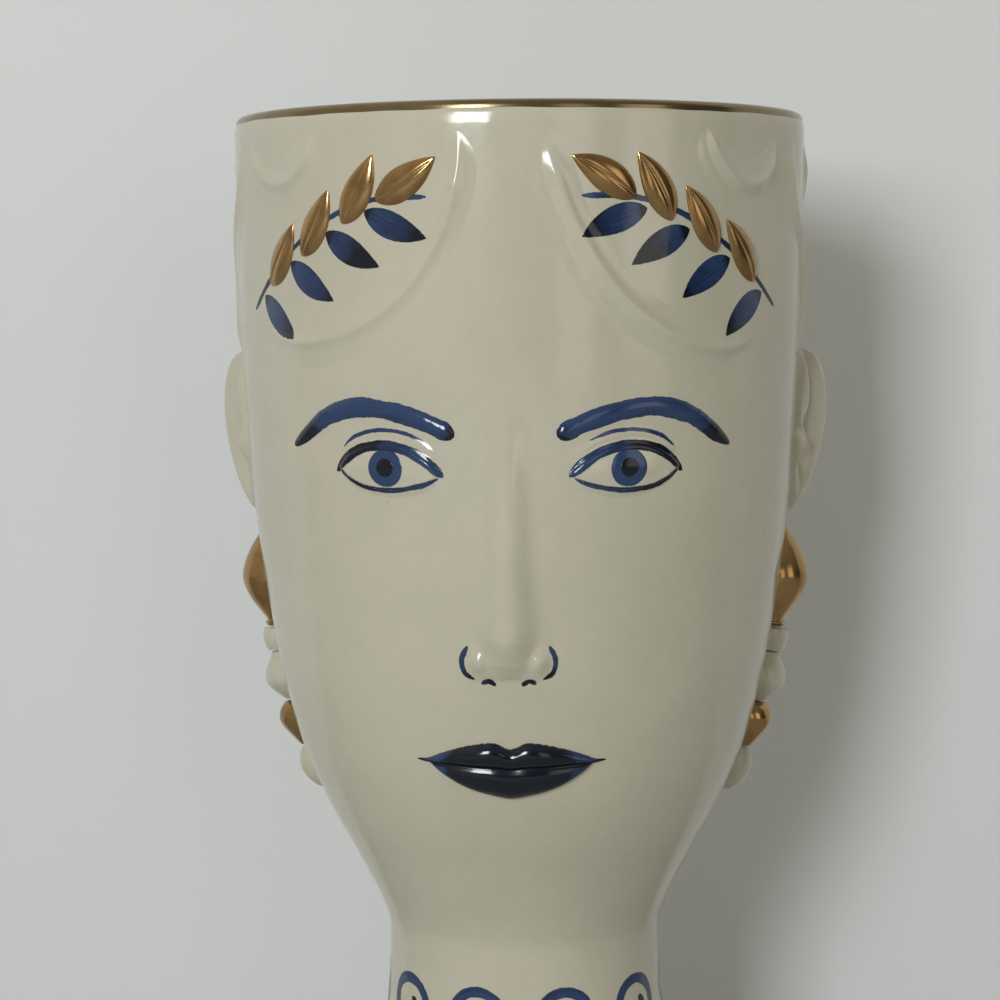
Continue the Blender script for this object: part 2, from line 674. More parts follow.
class Tree:
    """The node tree of one material or world."""

    def __init__(self, owner):
        owner.use_nodes = True
        self.nodes, self.links = owner.node_tree.nodes, owner.node_tree.links
        self.nodes.clear()

    def add(self, kind, settings=None, values=None, output=0):
        """Adds a node: its settings first, then the values or links of its inputs. Returns an output."""
        node = self.nodes.new(kind)
        for key, value in (settings or {}).items():
            setattr(node, key, value)
        pairs = values.items() if isinstance(values, dict) else enumerate(values or [])
        for key, value in pairs:
            if isinstance(value, Wire):
                self.links.new(value.socket, node.inputs[key])
            else:
                held = node.inputs[key].default_value
                rgba = hasattr(held, "__len__") and len(held) == 4 and len(value) == 3
                node.inputs[key].default_value = (*value, 1.0) if rgba else value
        return Wire(self, node.outputs[output]) if len(node.outputs) else None

    def noise(self, where, scale, detail, roughness):
        """Noise from 0 to 1."""
        return self.add("ShaderNodeTexNoise", {}, {
            "Vector": where, "Scale": scale, "Detail": detail, "Roughness": roughness})

    def ramp(self, value, low, high):
        """A soft step from 0 to 1 as a value goes from low to high."""
        return self.add("ShaderNodeMapRange", {"interpolation_type": "SMOOTHSTEP"},
                        {"Value": value, "From Min": low, "From Max": high})

    def mix(self, share, first, second):
        """A colour between two colours."""
        return self.add("ShaderNodeMix", {"data_type": "RGBA"}, {0: share, 6: first, 7: second}, output=2)

    def painted(self, name):
        """A value that the mesh carries."""
        return self.add("ShaderNodeAttribute", {"attribute_name": name}, output="Fac")

    def parts(self, vector):
        """The three parts of a vector."""
        node = self.add("ShaderNodeSeparateXYZ", {}, [vector]).socket.node
        return [Wire(self, output) for output in node.outputs]

    def bump(self, height, strength, distance):
        """A normal that a height bends."""
        return self.add("ShaderNodeBump", {}, {
            "Strength": strength, "Distance": distance, "Height": height}, output="Normal")

    def surface(self, **values):
        """The closing shader, joined to the output."""
        named = {key.replace("_", " ").title().replace("Ior", "IOR"): value for key, value in values.items()}
        shader = self.add("ShaderNodeBsdfPrincipled", {}, named)
        self.add("ShaderNodeOutputMaterial", {}, [shader])


def new_material(name):
    """A new material with an empty node tree, under a name that the frame's own materials don't have."""
    material = bpy.data.materials.new(f"fired_{name}")
    return material, Tree(material)


def cream_layers(tree, colours):
    """The body glaze: its colour, roughness and the height of its skin."""
    place = tree.add("ShaderNodeTexCoord", output="Object")
    cloud = tree.noise(place, 28.0, 3.0, 0.55)
    grain = tree.noise(place, 420.0, 3.0, 0.6)
    tone = tree.ramp(cloud, 0.35, 0.68) * 0.55 + tree.ramp(grain, 0.35, 0.7) * 0.25
    body = tree.mix(tone, tuple(colours.cream), tuple(colours.cream_shade))
    cell = tree.add("ShaderNodeTexVoronoi", {"feature": "F1"}, {"Vector": place, "Scale": 230.0})
    chance = tree.noise(place, 95.0, 1.0, 0.5)
    specks = (1 - tree.ramp(cell, 0.035, 0.075)) * tree.ramp(chance, 0.64, 0.70)
    colour = tree.mix(specks * 0.5, body, tuple(colours.speck))
    rough = 0.085 + grain * 0.05 + cloud * 0.03
    ripple = tree.noise(place, 75.0, 2.0, 0.5)
    peel = tree.noise(place, 260.0, 2.0, 0.5)
    skin = ripple * 0.75 + peel * 0.5 + specks * 0.2
    return colour, rough, skin


def cream_glaze(colours):
    """Glossy cream body glaze with faint mottling, sparse iron specks and an uneven skin."""
    material, tree = new_material("cream_glaze")
    colour, rough, skin = cream_layers(tree, colours)
    tree.surface(base_color=colour, roughness=rough, ior=GLAZE_IOR,
                 normal=tree.bump(skin, 0.35, GLAZE_DEPTH))
    return material


def cobalt_glaze(colours):
    """Brushed cobalt: streaks along the stroke, pooled dark ends and a feathered edge over cream."""
    material, tree = new_material("cobalt_glaze")
    cream, rough, skin = cream_layers(tree, colours)
    along, across = tree.painted("along"), tree.painted("across")
    wash, edge = tree.painted("wash"), tree.painted("edge")
    lane = tree.add("ShaderNodeCombineXYZ", {}, [along * 0.10, across * 1.1, wash * 3.0])
    streaks = tree.noise(lane, 1.0, 3.0, 0.6)
    place = tree.add("ShaderNodeTexCoord", output="Object")
    pools = tree.noise(place, 170.0, 3.0, 0.6)
    thin = tree.ramp(streaks * 0.7 + pools * 0.5 - wash * 0.55, 0.12, 0.52)
    brushed = tree.mix(thin, tuple(colours.cobalt), tuple(colours.cobalt_thin))
    pooled = tree.ramp(wash + (streaks - 0.5) * 0.22 + (pools - 0.5) * 0.3, 0.50, 0.62)
    line = 1 - tree.ramp(edge, 0.12, 0.42)
    colour = tree.mix((pooled + line * 0.35).held(), brushed, tuple(colours.cobalt_deep))
    fray = tree.noise(place, 900.0, 2.0, 0.6)
    cover = tree.ramp(edge + (fray - 0.5) * 0.4, 0.05, 0.24)
    rough_blue = 0.10 + pools * 0.06
    tree.surface(base_color=tree.mix(cover, cream, colour),
                 roughness=rough * (1 - cover) + rough_blue * cover, ior=GLAZE_IOR,
                 normal=tree.bump(skin + pools * 0.15, 0.35, GLAZE_DEPTH))
    return material


def gold_lustre(colours):
    """Fired gold, thin in places, with fine rubbing."""
    material, tree = new_material("gold_lustre")
    place = tree.add("ShaderNodeTexCoord", output="Object")
    cloud = tree.noise(place, 120.0, 4.0, 0.6)
    fine = tree.noise(place, 1400.0, 2.0, 0.6)
    rubbed = tree.mix(tree.ramp(cloud, 0.42, 0.72) * 0.7, tuple(colours.gold), tuple(colours.gold_worn))
    colour = tree.mix(tree.painted("wash"), rubbed, tuple(colours.gold_thin))
    tree.surface(base_color=colour, metallic=1.0, roughness=0.12 + cloud * 0.07 + fine * 0.06,
                 normal=tree.bump(cloud * 0.6 + fine * 0.08, 0.35, GOLD_DEPTH))
    return material


def bare_clay(colours):
    """Unglazed clay: matte, grainy and speckled."""
    material, tree = new_material("bare_clay")
    place = tree.add("ShaderNodeTexCoord", output="Object")
    grain = tree.noise(place, 1500.0, 4.0, 0.65)
    cloud = tree.noise(place, 60.0, 3.0, 0.5)
    dark = tuple(0.62 * c for c in colours.clay)
    colour = tree.mix(tree.ramp(grain, 0.35, 0.75) * 0.6 + cloud * 0.3, tuple(colours.clay), dark)
    tree.surface(base_color=colour, roughness=0.78 + grain * 0.18,
                 normal=tree.bump(grain, 0.6, GRAIN_DEPTH))
    return material


FINISHES = {"cream_glaze": cream_glaze, "cobalt_glaze": cobalt_glaze, "gold_lustre": gold_lustre,
            "bare_clay": bare_clay}


def finish(name):
    """A finish, made once."""
    made = bpy.data.materials.get(f"fired_{name}")
    return made or FINISHES[name](bpy.context.scene.face_vase_colours)


def the_wall(sizes):
    """The wall with the relief forms of the face."""
    wall = Wall(sizes)
    wall.reliefs = [local_form(wall, *place) for place in relief_forms()]
    return wall


def lathe_rows(stops, step):
    """Heights from the first stop to the last, closer together next to the stops."""
    crowding = 0.9
    rows = []
    for low, high in zip(stops, stops[1:]):
        count = max(int((high - low) / step), 4)
        share = np.linspace(0, 1, count, endpoint=False)
        rows.extend(low + (high - low) * (share - crowding * np.sin(2 * math.pi * share) / (2 * math.pi)))
    return np.array(rows + [stops[-1]])


def turned(profile, segments):
    """Rings of points for a turned profile of (radius, height)."""
    turn = np.linspace(0, 2 * math.pi, segments, endpoint=False)
    return [around_axis(radius, turn, height) for radius, height in profile]


def turned_wall(wall, outer_heights, profile):
    """A turned shell: its outside is the uneven wall, and a plain profile of (radius, height) closes it."""
    outside = [wall.point(WALL_ANGLES, height) for height in outer_heights]
    shell = Shell()
    shell.add_rings(outside + turned(profile, len(WALL_ANGLES)))
    return shell


def inner_wall(wall, sizes, span, kept, count):
    """The inside of the wall as (radius, height), from the top down: worked out over a span of heights
    of the outside, and kept between two heights of the inside."""
    heights = np.linspace(span[1], span[0], count)
    slope = wall.slope(heights)
    tilt = np.hypot(1, slope)
    places = zip(wall.radius(heights) - sizes.wall / tilt, heights + sizes.wall * slope / tilt)
    return [(radius, height) for radius, height in places if kept[0] < height < kept[1]]


def neck_inside(wall, sizes):
    """The inner radius where the cup meets the pedestal."""
    return float(wall.radius(NECK_HEIGHT)) - sizes.wall * math.hypot(1, float(wall.slope(NECK_HEIGHT)))


def build_cup(wall, sizes):
    """The open cup of the head."""
    inside = sizes.rim_radius - sizes.wall
    overlap, end_gap, lip_part = 4 * MM, 0.4 * MM, 4 * MM
    inner = inner_wall(wall, sizes, (NECK_HEIGHT - overlap, LIP_HEIGHT),
                       (NECK_HEIGHT + end_gap, LIP_HEIGHT - end_gap), 110)
    inner[0] = (inside, inner[0][1])
    outer_heights = lathe_rows([NECK_HEIGHT, LIP_HEIGHT - lip_part, LIP_HEIGHT], 1.25 * MM)
    profile = [(inside, LIP_HEIGHT), *inner, (neck_inside(wall, sizes), NECK_HEIGHT)]
    turned_wall(wall, outer_heights, profile).piece("head_cup_wall", "cream_glaze", ["head_cup"])


def build_pedestal(wall, sizes):
    """The neck and the flared foot, with a rounded corner at its floor and a turned edge over the ring."""
    floor, corner, end_gap = RING_HEIGHT + sizes.floor, 5 * MM, 0.4 * MM
    edge_round, edge_reach = 1.2 * MM, 1.1 * MM
    inner = inner_wall(wall, sizes, (floor, NECK_HEIGHT), (floor + 1.2 * corner, NECK_HEIGHT - end_gap), 60)
    reach = inner[-1][0] + 0.8 * MM
    profile = [(neck_inside(wall, sizes), NECK_HEIGHT), *inner]
    for turn in np.linspace(0.12, 1, 9) * math.pi / 2:
        profile.append((reach - corner * (1 - math.cos(turn)), floor + corner * (1 - math.sin(turn))))
    profile += [(reach * share, floor) for share in (0.7, 0.45, 0.2, 0.0)]
    edge, base = float(wall.radius(RING_HEIGHT)), RING_HEIGHT + edge_round
    profile += [(edge * share, RING_HEIGHT) for share in (0.0, 0.5, 0.9)]
    for turn in np.linspace(0, 0.9, 6) * math.pi / 2:
        profile.append((edge - edge_round + edge_reach * math.sin(turn), base - edge_round * math.cos(turn)))
    outer_heights = lathe_rows([base, NECK_HEIGHT], 1.0 * MM)
    turned_wall(wall, outer_heights, profile).piece("pedestal_wall", "cream_glaze", ["neck_pedestal"])


def build_gold_lip(wall, sizes):
    """The gold lip: a skin over the rounded top, down to a line that wanders as a brush does."""
    skin, sink, band, lap, wavering = 0.04 * MM, 0.4 * MM, 0.3 * MM, 0.5 * MM, 0.09 * MM
    inside = sizes.rim_radius - sizes.wall
    turn = np.radians(WALL_ANGLES)
    wander = wavering * (np.sin(5 * turn + 1) + 0.7 * np.sin(13 * turn + 2) + 0.5 * np.sin(29 * turn))
    low = LIP_HEIGHT - band + wander
    rings = [wall.point(WALL_ANGLES, low + (LIP_HEIGHT - low) * share, skin * (0.3 + 0.7 * share))
             for share in (0.0, 0.5, 1.0)]
    outer = wall.radius(LIP_HEIGHT) - wall.dip(WALL_ANGLES, LIP_HEIGHT)
    centre, half = (outer + inside) / 2, (outer - inside) / 2
    for over in np.linspace(0.06, 0.94, 15) * math.pi:
        height = LIP_HEIGHT + (TOTAL_HEIGHT - LIP_HEIGHT) * math.sin(over) ** 0.8
        rings.append(around_axis(centre + (half + skin) * math.cos(over), turn, height))
    back = [(inside - skin, 0.0), (inside - 0.3 * skin, lap), (inside + lap, lap), (inside + lap, 0.0)]
    rings += [around_axis(radius, turn, LIP_HEIGHT - drop) for radius, drop in back]
    rings.append(wall.point(WALL_ANGLES, LIP_HEIGHT, -sink))
    rings.append(wall.point(WALL_ANGLES, LIP_HEIGHT - 2.5 * band + wander, -sink))
    shell = Shell()
    shell.add_rings(rings, wash=0.75)
    shell.piece("gold_lip", "gold_lustre", ["rim_band"], crease=50)


def build_foot_ring():
    """The bare clay ring that the vase stands on, with its lower edges worn round."""
    width, bevel = 5.5 * MM, 0.5 * MM
    shoulder = bevel * 1.6
    inside = RING_RADIUS - width
    arc = [(bevel * (1 - math.cos(turn)), bevel * (1 - math.sin(turn))) for turn in np.linspace(0.1, 1.5, 5)]
    profile = [(RING_RADIUS, RING_HEIGHT), (RING_RADIUS, shoulder)]
    profile += [(RING_RADIUS - across, up) for across, up in arc]
    profile += [(inside + across, up) for across, up in reversed(arc)]
    profile += [(inside, shoulder), (inside, RING_HEIGHT)]
    shell = Shell()
    shell.add_rings(turned(profile, 192))
    shell.piece("bare_foot_ring", "bare_clay", ["foot_ring"])


def build_body(sizes):
    """The head cup, the pedestal, the gold lip and the bare foot ring."""
    wall = Wall(sizes)
    build_cup(wall, sizes)
    build_pedestal(wall, sizes)
    build_gold_lip(wall, sizes)
    build_foot_ring()


def eye_form(sign):
    """The almond swell of an eyeball between raised lids. Across is positive away from the nose."""
    half_width, upper, lower, slant = 13.4 * MM, 5.6 * MM, 4.3 * MM, 0.045
    ball_height, lid_height, lid_width = 1.45 * MM, 0.62 * MM, 1.25 * MM
    fold_height, fold_width, fold_gap = 0.35 * MM, 1.1 * MM, 2.6 * MM

    def form(across, up):
        across = across * sign
        share = np.clip(np.abs(across) / half_width, 0, 1)
        above = up - slant * across
        edge = np.where(above > 0, upper * (1 - share ** 2.1), lower * (1 - share ** 2.4)) + 0.15 * MM
        ends = smooth(1.0, 0.72, share)
        open_share = np.clip(1 - (above / edge) ** 2, 0, 1)
        ball = ball_height * open_share ** 0.7 * np.sqrt(np.clip(1 - share ** 2, 0, 1))
        lids = lid_height * bell(np.abs(above) - edge, lid_width) * ends
        fold = fold_height * bell(above - edge - fold_gap, fold_width) * ends * (above > 0)
        return ball + lids + fold - EYE_SINK
    return form


def nose_form(across, up):
    """Bridge, tip and wings. Up is counted from the middle of the nose."""
    above_base = up + FACE_THIRD / 2
    climb = above_base / FACE_THIRD
    ridge = np.interp(climb, *zip(*NOSE_RIDGE)) * MM
    half_width = np.interp(climb, *zip(*NOSE_HALF_WIDTH)) * MM
    body = ridge * np.exp(-(np.abs(across) / half_width) ** 2.3)
    tip = 1.0 * MM * bell(across, 4.0 * MM) * bell(above_base - 9.0 * MM, 4.2 * MM)
    wing_out, wing_width, wing_height = 7.0 * MM, 2.9 * MM, 1.9 * MM
    wings = wing_height * bell(above_base - 4.2 * MM, 3.3 * MM) * (
        bell(across + wing_out, wing_width) + bell(across - wing_out, wing_width))
    cut = smooth(-1.6 * MM, 1.2 * MM, above_base + 0.06 * np.abs(across))
    return (soft_max(body + tip, wings, 0.8 * MM) - 0.2 * MM) * cut - NOSE_SINK * (2 - cut)


def mouth_line(across):
    """The line between the lips, dipping a little in the middle and lifting at its ends."""
    return 0.9 * MM * (np.abs(across) / (21 * MM)) ** 2 - 0.45 * MM * bell(across, 3.0 * MM)


def upper_edge(across):
    """The top of the upper lip, a soft bow of two lobes, as a height above the mouth's line."""
    share = np.clip(np.abs(across) / (21 * MM), 0, 1)
    bow = 6.4 * MM * (1 - share ** 1.9)
    notch = 1.5 * MM * bell(across, 2.6 * MM)
    return np.maximum(bow - notch, 0.0)


def lower_edge(across):
    """The bottom of the lower lip, as a depth under the mouth's line."""
    share = np.clip(np.abs(across) / (19 * MM), 0, 1)
    return 8.0 * MM * (1 - share ** 2.0) ** 0.85


# The lips: side of the mouth's line, outer edge, half the mould's width, half the swell's width, its
# height, the share of it that lies past the line, the divisor that brings it to its height, its roundness
# and the share of it that the lobes take
LIPS = {
    "upper_lip": (1, upper_edge, 21.3 * MM, 21.2 * MM, 2.6 * MM, 0.12, 1.25, 0.65, 0.14),
    "lower_lip": (-1, lower_edge, 19.4 * MM, 19.4 * MM, 2.7 * MM, 0.1, 1.2, 0.6, 0.0),
}


def lip_form(name):
    """The swell of a lip between the mouth's line and its outer edge."""
    sign, outer_edge, _, half_width, height, past, divisor, power, lobe_share = LIPS[name]

    def form(across, up):
        away = sign * (up - mouth_line(across))
        level = away / np.maximum(outer_edge(across), 0.01 * MM)
        ends = np.sqrt(np.clip(1 - (across / half_width) ** 2, 0, 1))
        swell = np.clip(4 * np.clip(level + past, 0, 1 + past) * (1.0 - level) / divisor, 0, None) ** power
        lobes = 1 - lobe_share * (1 - bell(np.abs(across) - 7 * MM, 4 * MM))
        inside = (level > -0.3) & (level < 1.0) & (away > -0.35 * MM)
        return np.where(inside, height * swell * ends * lobes, 0) - LIP_SINK
    return form


def relief_forms():
    """Each modelled form that brushwork crosses, as (angle, height, form)."""
    eyes = [(sign * EYE_ANGLE, EYE_HEIGHT, eye_form(sign)) for sign in SIDES.values()]
    lips = [(0.0, MOUTH_HEIGHT, lip_form(name)) for name in LIPS]
    return [*eyes, (0.0, NOSE_MIDDLE, nose_form), *lips]


def build_eye(wall, side, sign):
    """The low relief of an eye, faded out all round."""
    half_across, half_up = 16.5 * MM, 11.5 * MM
    grid = relief_grid(wall, sign * EYE_ANGLE, EYE_HEIGHT, half_across, half_up, 0.32 * MM)
    across, up = grid[2:]
    fade = (smooth(half_across - 0.1 * MM, half_across - 2.0 * MM, np.abs(across))
            * smooth(half_up - 0.1 * MM, half_up - 1.5 * MM, np.abs(up)))
    lift = eye_form(sign)(across, up) * fade - EYE_SINK * (1 - fade)
    relief_shell(wall, grid, lift).piece(f"eye_relief_{side}", "cream_glaze", [f"eye_{side}"])


def build_brow(wall, side, sign):
    """A raised brow in brushed cobalt, darker at both ends."""
    arch, height, sink = 5 * MM, 0.95 * MM, 0.05 * MM
    half_width, full_width = 2.25 * MM, 2.2 * MM
    route = [(sign * math.degrees(math.asin(EYE_SHARE * out)), BROW_HEIGHT + arch * (rise - 1))
             for out, rise in BROW_LINE_SHARES]
    width = brush_width(half_width, 3.5 * MM, 15 * MM, seed=40 + sign)
    angles, heights, travelled, across, widths = band_grid(wall, route, width, 0.4 * MM, 25)
    lift = height * (1 - across ** 2) ** 0.8 * np.clip(widths / full_width, 0, 1) - sink
    share = travelled / travelled[-1]
    wash = 0.25 + 0.55 * smooth(0.62, 0.95, share) + 0.35 * smooth(0.12, 0.0, share)
    edge = (1 - np.abs(across)) * widths / MM + 0.08
    shell = raised_shell(wall, angles, heights, lift, wash=wash, edge=edge, along=travelled / MM,
                         across=across * widths / MM)
    shell.piece(f"brow_ridge_{side}", "cobalt_glaze", [f"brow_{side}"])


def build_nose(wall):
    """The low relief of the nose."""
    half_across, half_up = 15 * MM, 35.5 * MM
    grid = relief_grid(wall, 0.0, NOSE_MIDDLE, half_across, half_up, 0.34 * MM)
    across, up = grid[2:]
    fade = smooth(half_across, half_across - 2 * MM, np.abs(across))
    lift = nose_form(across, up) * fade - NOSE_SINK * (1 - fade)
    relief_shell(wall, grid, lift).piece("nose_relief", "cream_glaze", ["nose"])


def build_mouth_lip(wall, name):
    """One lip, in dark cobalt that thins towards its ends and its outer edge."""
    sign, outer_edge, reach, *_ = LIPS[name]
    across = np.sin(np.linspace(-1, 1, 150) * math.pi / 2)[:, None] * reach
    level = np.linspace(-0.06, 1.0, 30)[None, :]
    level = np.where(level > 0, np.sin(np.clip(level, 0, 1) * math.pi / 2), level)
    up = mouth_line(across) + sign * level * np.maximum(outer_edge(across), 0.25 * MM)
    across = np.broadcast_to(across, up.shape)
    angles, heights = wall.moved(0.0, MOUTH_HEIGHT, across, up)
    lift = np.maximum(lip_form(name)(across, up), -LIP_SINK)
    gap = np.minimum(np.abs(level - 1) * outer_edge(across), reach - np.abs(across))
    wash = 0.74 - 0.34 * smooth(0.55, 0.9, np.abs(across) / reach) - 0.12 * smooth(0.3, 0.9, level)
    shell = raised_shell(wall, angles, heights, lift, wash=wash, edge=gap / MM + 0.12, along=across / MM,
                         across=up / MM)
    shell.piece(f"{name}_relief", "cobalt_glaze", [name])


def build_face(sizes):
    """Eyes, brows, nose and lips in low relief."""
    wall = Wall(sizes)
    for side, sign in SIDES.items():
        build_eye(wall, side, sign)
        build_brow(wall, side, sign)
    build_nose(wall)
    for name in LIPS:
        build_mouth_lip(wall, name)


def ear_lift(sizes, share, across, up):
    """The height of an ear over the wall: a rounded rim behind a groove, a hollow and a small flap.

    Across is positive backwards. The rim bends forwards at the top and at the lobe."""
    groove_depth, hollow_depth, flap_height, sink = 2.2 * MM, 2.7 * MM, 2.3 * MM, 0.1 * MM
    climb = np.clip(up / (sizes.ear_height / 2), -1, 1)
    chord = np.maximum(sizes.ear_depth / 2 * np.sqrt(1 - climb ** 2), 0.2 * MM)
    place = np.clip(across / chord, -1, 1)
    crest = 0.12 - 0.45 * climb ** 4
    outline = (1 - climb) ** 0.45 * (1 + climb) ** 0.72 / 1.03
    front = smooth(-1.08, 0.0, place - crest)
    back = np.sqrt(np.clip(1 - (np.clip(place - crest, 0, None) / (1 - crest)) ** 2.4, 0, 1))
    body = np.where(place < crest, 0.30 * (1 - np.abs(place) ** 6) + 0.70 * front ** 1.2, back)
    groove = groove_depth * bell(place - crest + 0.48, 0.15)
    groove = groove * smooth(-0.78, -0.35, climb) * smooth(1.0, 0.78, climb)
    hollow = hollow_depth * bell(place + 0.50, 0.27) * bell(climb + 0.12, 0.30)
    flap = flap_height * bell(place + 0.85, 0.13) * bell(climb + 0.13, 0.17)
    edge = np.sqrt(np.clip(1 - np.clip((share - 0.86) / 0.14, 0, 1) ** 2, 0, 1))
    return (sizes.ear_proud * outline * body - groove - hollow + flap) * edge - sink


def build_ears(sizes):
    """Ears with a rolled rim, a groove, a hollow and a tapering lobe."""
    wall = Wall(sizes)
    half_depth, half_height = sizes.ear_depth / 2, sizes.ear_height / 2
    turn = np.linspace(0, 2 * math.pi, 144, endpoint=False)[None, :]
    share = np.concatenate([np.linspace(0, 0.82, 48), np.linspace(0.835, 1.0, 26)])[:, None]
    across, up = share * half_depth * np.cos(turn), share * half_height * np.sin(turn)
    to_lobe = smooth(0.0, -half_height, up)
    placed = across * (1 - 0.40 * to_lobe) * 0.97 + 0.07 * up - 1.4 * MM * to_lobe
    lift = ear_lift(sizes, share, across, up)
    for side, sign in SIDES.items():
        angles, heights = wall.moved(EAR_ANGLE * sign, EAR_HEIGHT, placed * sign, up)
        shell = Shell()
        shell.add_disc(wall.point(angles, heights, lift), wall.point(angles, heights, -DEEP_UNDERSIDE))
        shell.piece(f"ear_shell_{side}", "cream_glaze", [f"ear_{side}"], crease=60)


def keep_outside(wall, points, least):
    """Moves points that lie deep in the wall up to a given depth under its surface."""
    height = points[:, 2]
    tilt = np.hypot(1, wall.slope(height))
    lift = (np.hypot(points[:, 0], points[:, 1]) - wall.radius(height)) / tilt
    turn = np.arctan2(points[:, 0], -points[:, 1])
    seated = around_axis(wall.radius(height) + least * tilt, turn, height)
    return np.where((lift < least)[:, None], seated, points)


def bead_profile(name, radius, length):
    """A bead's turned profile from its lower end up, with small worn shoulders at both ends."""
    outline = curve_through(BEAD_OUTLINE_SHARES[name], 8)
    first, last = outline[0][1], outline[-1][1]
    profile = [(0.0, 0.0), (first * 0.6, 0.0), (first * 0.92, 0.004)]
    profile += [(wide, 0.012 + 0.976 * along) for along, wide in outline]
    profile += [(last * 0.92, 0.996), (last * 0.6, 1.0), (0.0, 1.0)]
    return [(radius * wide, length * along) for wide, along in profile]


def build_earrings(sizes):
    """A string of five turned beads under each ear."""
    wall = Wall(sizes)
    ear_gap, bead_gap = 1.8 * MM, 0.3 * MM
    for side, sign in SIDES.items():
        top = EAR_HEIGHT - sizes.ear_height / 2 - ear_gap
        angle = EAR_ANGLE * sign
        for name, length, radius, slot in BEADS:
            bottom = wall.walk_down(top, length)
            high, low = wall.point(angle, top), wall.point(angle, bottom)
            reach = float(np.linalg.norm(high - low))
            axis = (high - low) / reach
            out = wall.normal(angle, top)
            out = out - axis * out.dot(axis)
            out = out / np.linalg.norm(out)
            axes = np.array([out, np.cross(axis, out), axis])
            rings = turned(bead_profile(name, radius, reach - bead_gap), 72)
            shell = Shell()
            shell.add_rings([keep_outside(wall, low + ring @ axes, -DEEP_UNDERSIDE) for ring in rings])
            stem = name.removesuffix("_bead")
            shell.piece(f"earring_{stem}_bead_{side}", slot, [f"earring_{name}_{side}"], crease=55)
            top = bottom


def lock_width(sizes):
    """A lock's width, tapered at both ends."""
    return brush_width(sizes.lock_width, 14 * MM, 22 * MM)


def lock_lift(sizes, travelled, length, side, seed):
    """A lock's height: a broad swell with a keener crest on one side, run out at both ends."""
    share = travelled / length
    ends = smooth(0, 0.16, share) * smooth(1.0, 0.8, share)
    swell = 0.38 * (1 - side ** 2) ** 1.6
    crest_place = 0.22 * np.sin(share * 5 + seed)
    crest = 0.62 * np.exp(-np.abs((side - crest_place) / 0.26) ** 1.7) * (1 - side ** 2) ** 0.6
    groove = 0.10 * bell(side - crest_place + 0.48, 0.13)
    return sizes.lock_height * (swell + crest - groove) * ends - LOCK_SINK


def lock_places():
    """Each lock's name, its route on the wall and the seed of its crest."""
    routes = [(f"{name}_{side}", [(angle * sign, climb) for angle, climb in route])
              for name, route in LOCK_ROUTE_SHARES.items() for side, sign in SIDES.items()]
    routes.append(("middle_back_lock", MIDDLE_LOCK_ROUTE_SHARES))
    return [(name, [(angle, NECK_HEIGHT + HEAD_HEIGHT * climb) for angle, climb in route], number // 2)
            for number, (name, route) in enumerate(routes)]


def lock_form(wall, sizes, places, seed):
    """The relief of a lock over any places on the wall, measured from the nearest point of its midline."""
    angle, height, across, up, travelled = route_on_wall(wall, places, LOCK_STEP)
    width = lock_width(sizes)(travelled, travelled[-1])

    def form(angles, heights):
        angles, heights = np.broadcast_arrays(angles, heights)
        aside = np.radians(angles.ravel()[:, None] - angle) * wall.radius(height)
        above = (heights.ravel()[:, None] - height) * np.hypot(1, wall.slope(height))
        near = np.argmin(aside ** 2 + above ** 2, axis=1)
        row = np.arange(len(near))
        side = (above[row, near] * across[near] - aside[row, near] * up[near]) / width[near]
        lift = lock_lift(sizes, travelled[near], travelled[-1], np.clip(side, -1, 1), seed)
        return np.where(np.abs(side) < 1, lift, 0.0).reshape(angles.shape)
    return form


def build_hair(sizes):
    """Moulded locks of hair round the sides and the back."""
    wall = Wall(sizes)
    for name, places, seed in lock_places():
        angles, heights, travelled, side, _ = band_grid(wall, places, lock_width(sizes), LOCK_STEP, 41)
        lift = lock_lift(sizes, travelled, travelled[-1], side, seed)
        raised_shell(wall, angles, heights, lift).piece(f"{name}_of_hair", "cream_glaze", [name])


def leaf_route(wall, angle, height, lean, length):
    """The midline of a leaf, from its stalk end to its tip, curving a little."""
    turn = math.radians(lean)
    spots = []
    for share in (-0.5, -0.2, 0.15, 0.5):
        bend = 0.035 * math.cos(share * 3)
        across = length * (math.sin(turn) * share + math.cos(turn) * bend)
        up = length * (math.cos(turn) * share - math.sin(turn) * bend)
        spots.append(wall.place(angle, height, across, up))
    return spots


def leaf_width(half_width):
    """A leaf's outline: round at the stalk end and pointed at the tip."""
    def width(travelled, length):
        share = travelled / length
        return half_width * np.maximum(np.sin(math.pi * share ** 0.8) ** 0.8, 0.03)
    return width


def build_leaves(sizes):
    """Raised gold leaves at the temples."""
    wall = Wall(sizes)
    dome_height, rib_depth, sink = 1.35 * MM, 0.22 * MM, 0.03 * MM
    for side, sign in SIDES.items():
        for number, (out, climb, lean) in enumerate(LEAF_PLACE_SHARES, start=1):
            height = NECK_HEIGHT + HEAD_HEIGHT * climb
            angle = math.degrees(sizes.leaf_length * out / float(wall.radius(height)))
            route = leaf_route(wall, angle * sign, height, lean * sign, sizes.leaf_length * 0.97)
            angles, heights, _, across, widths = band_grid(
                wall, route, leaf_width(sizes.leaf_width / 2), 0.3 * MM, 33)
            share = widths / widths.max()
            dome = dome_height * share ** 0.7 * (1 - across ** 2) ** 0.62
            rib = rib_depth * bell(across, 0.12) * smooth(0.15, 0.5, share)
            shell = raised_shell(wall, angles, heights, dome - rib - sink)
            node = f"gold_leaf_{number}_{side}"
            shell.piece(f"leaf_{number}_of_gold_{side}", "gold_lustre", [node], crease=60)


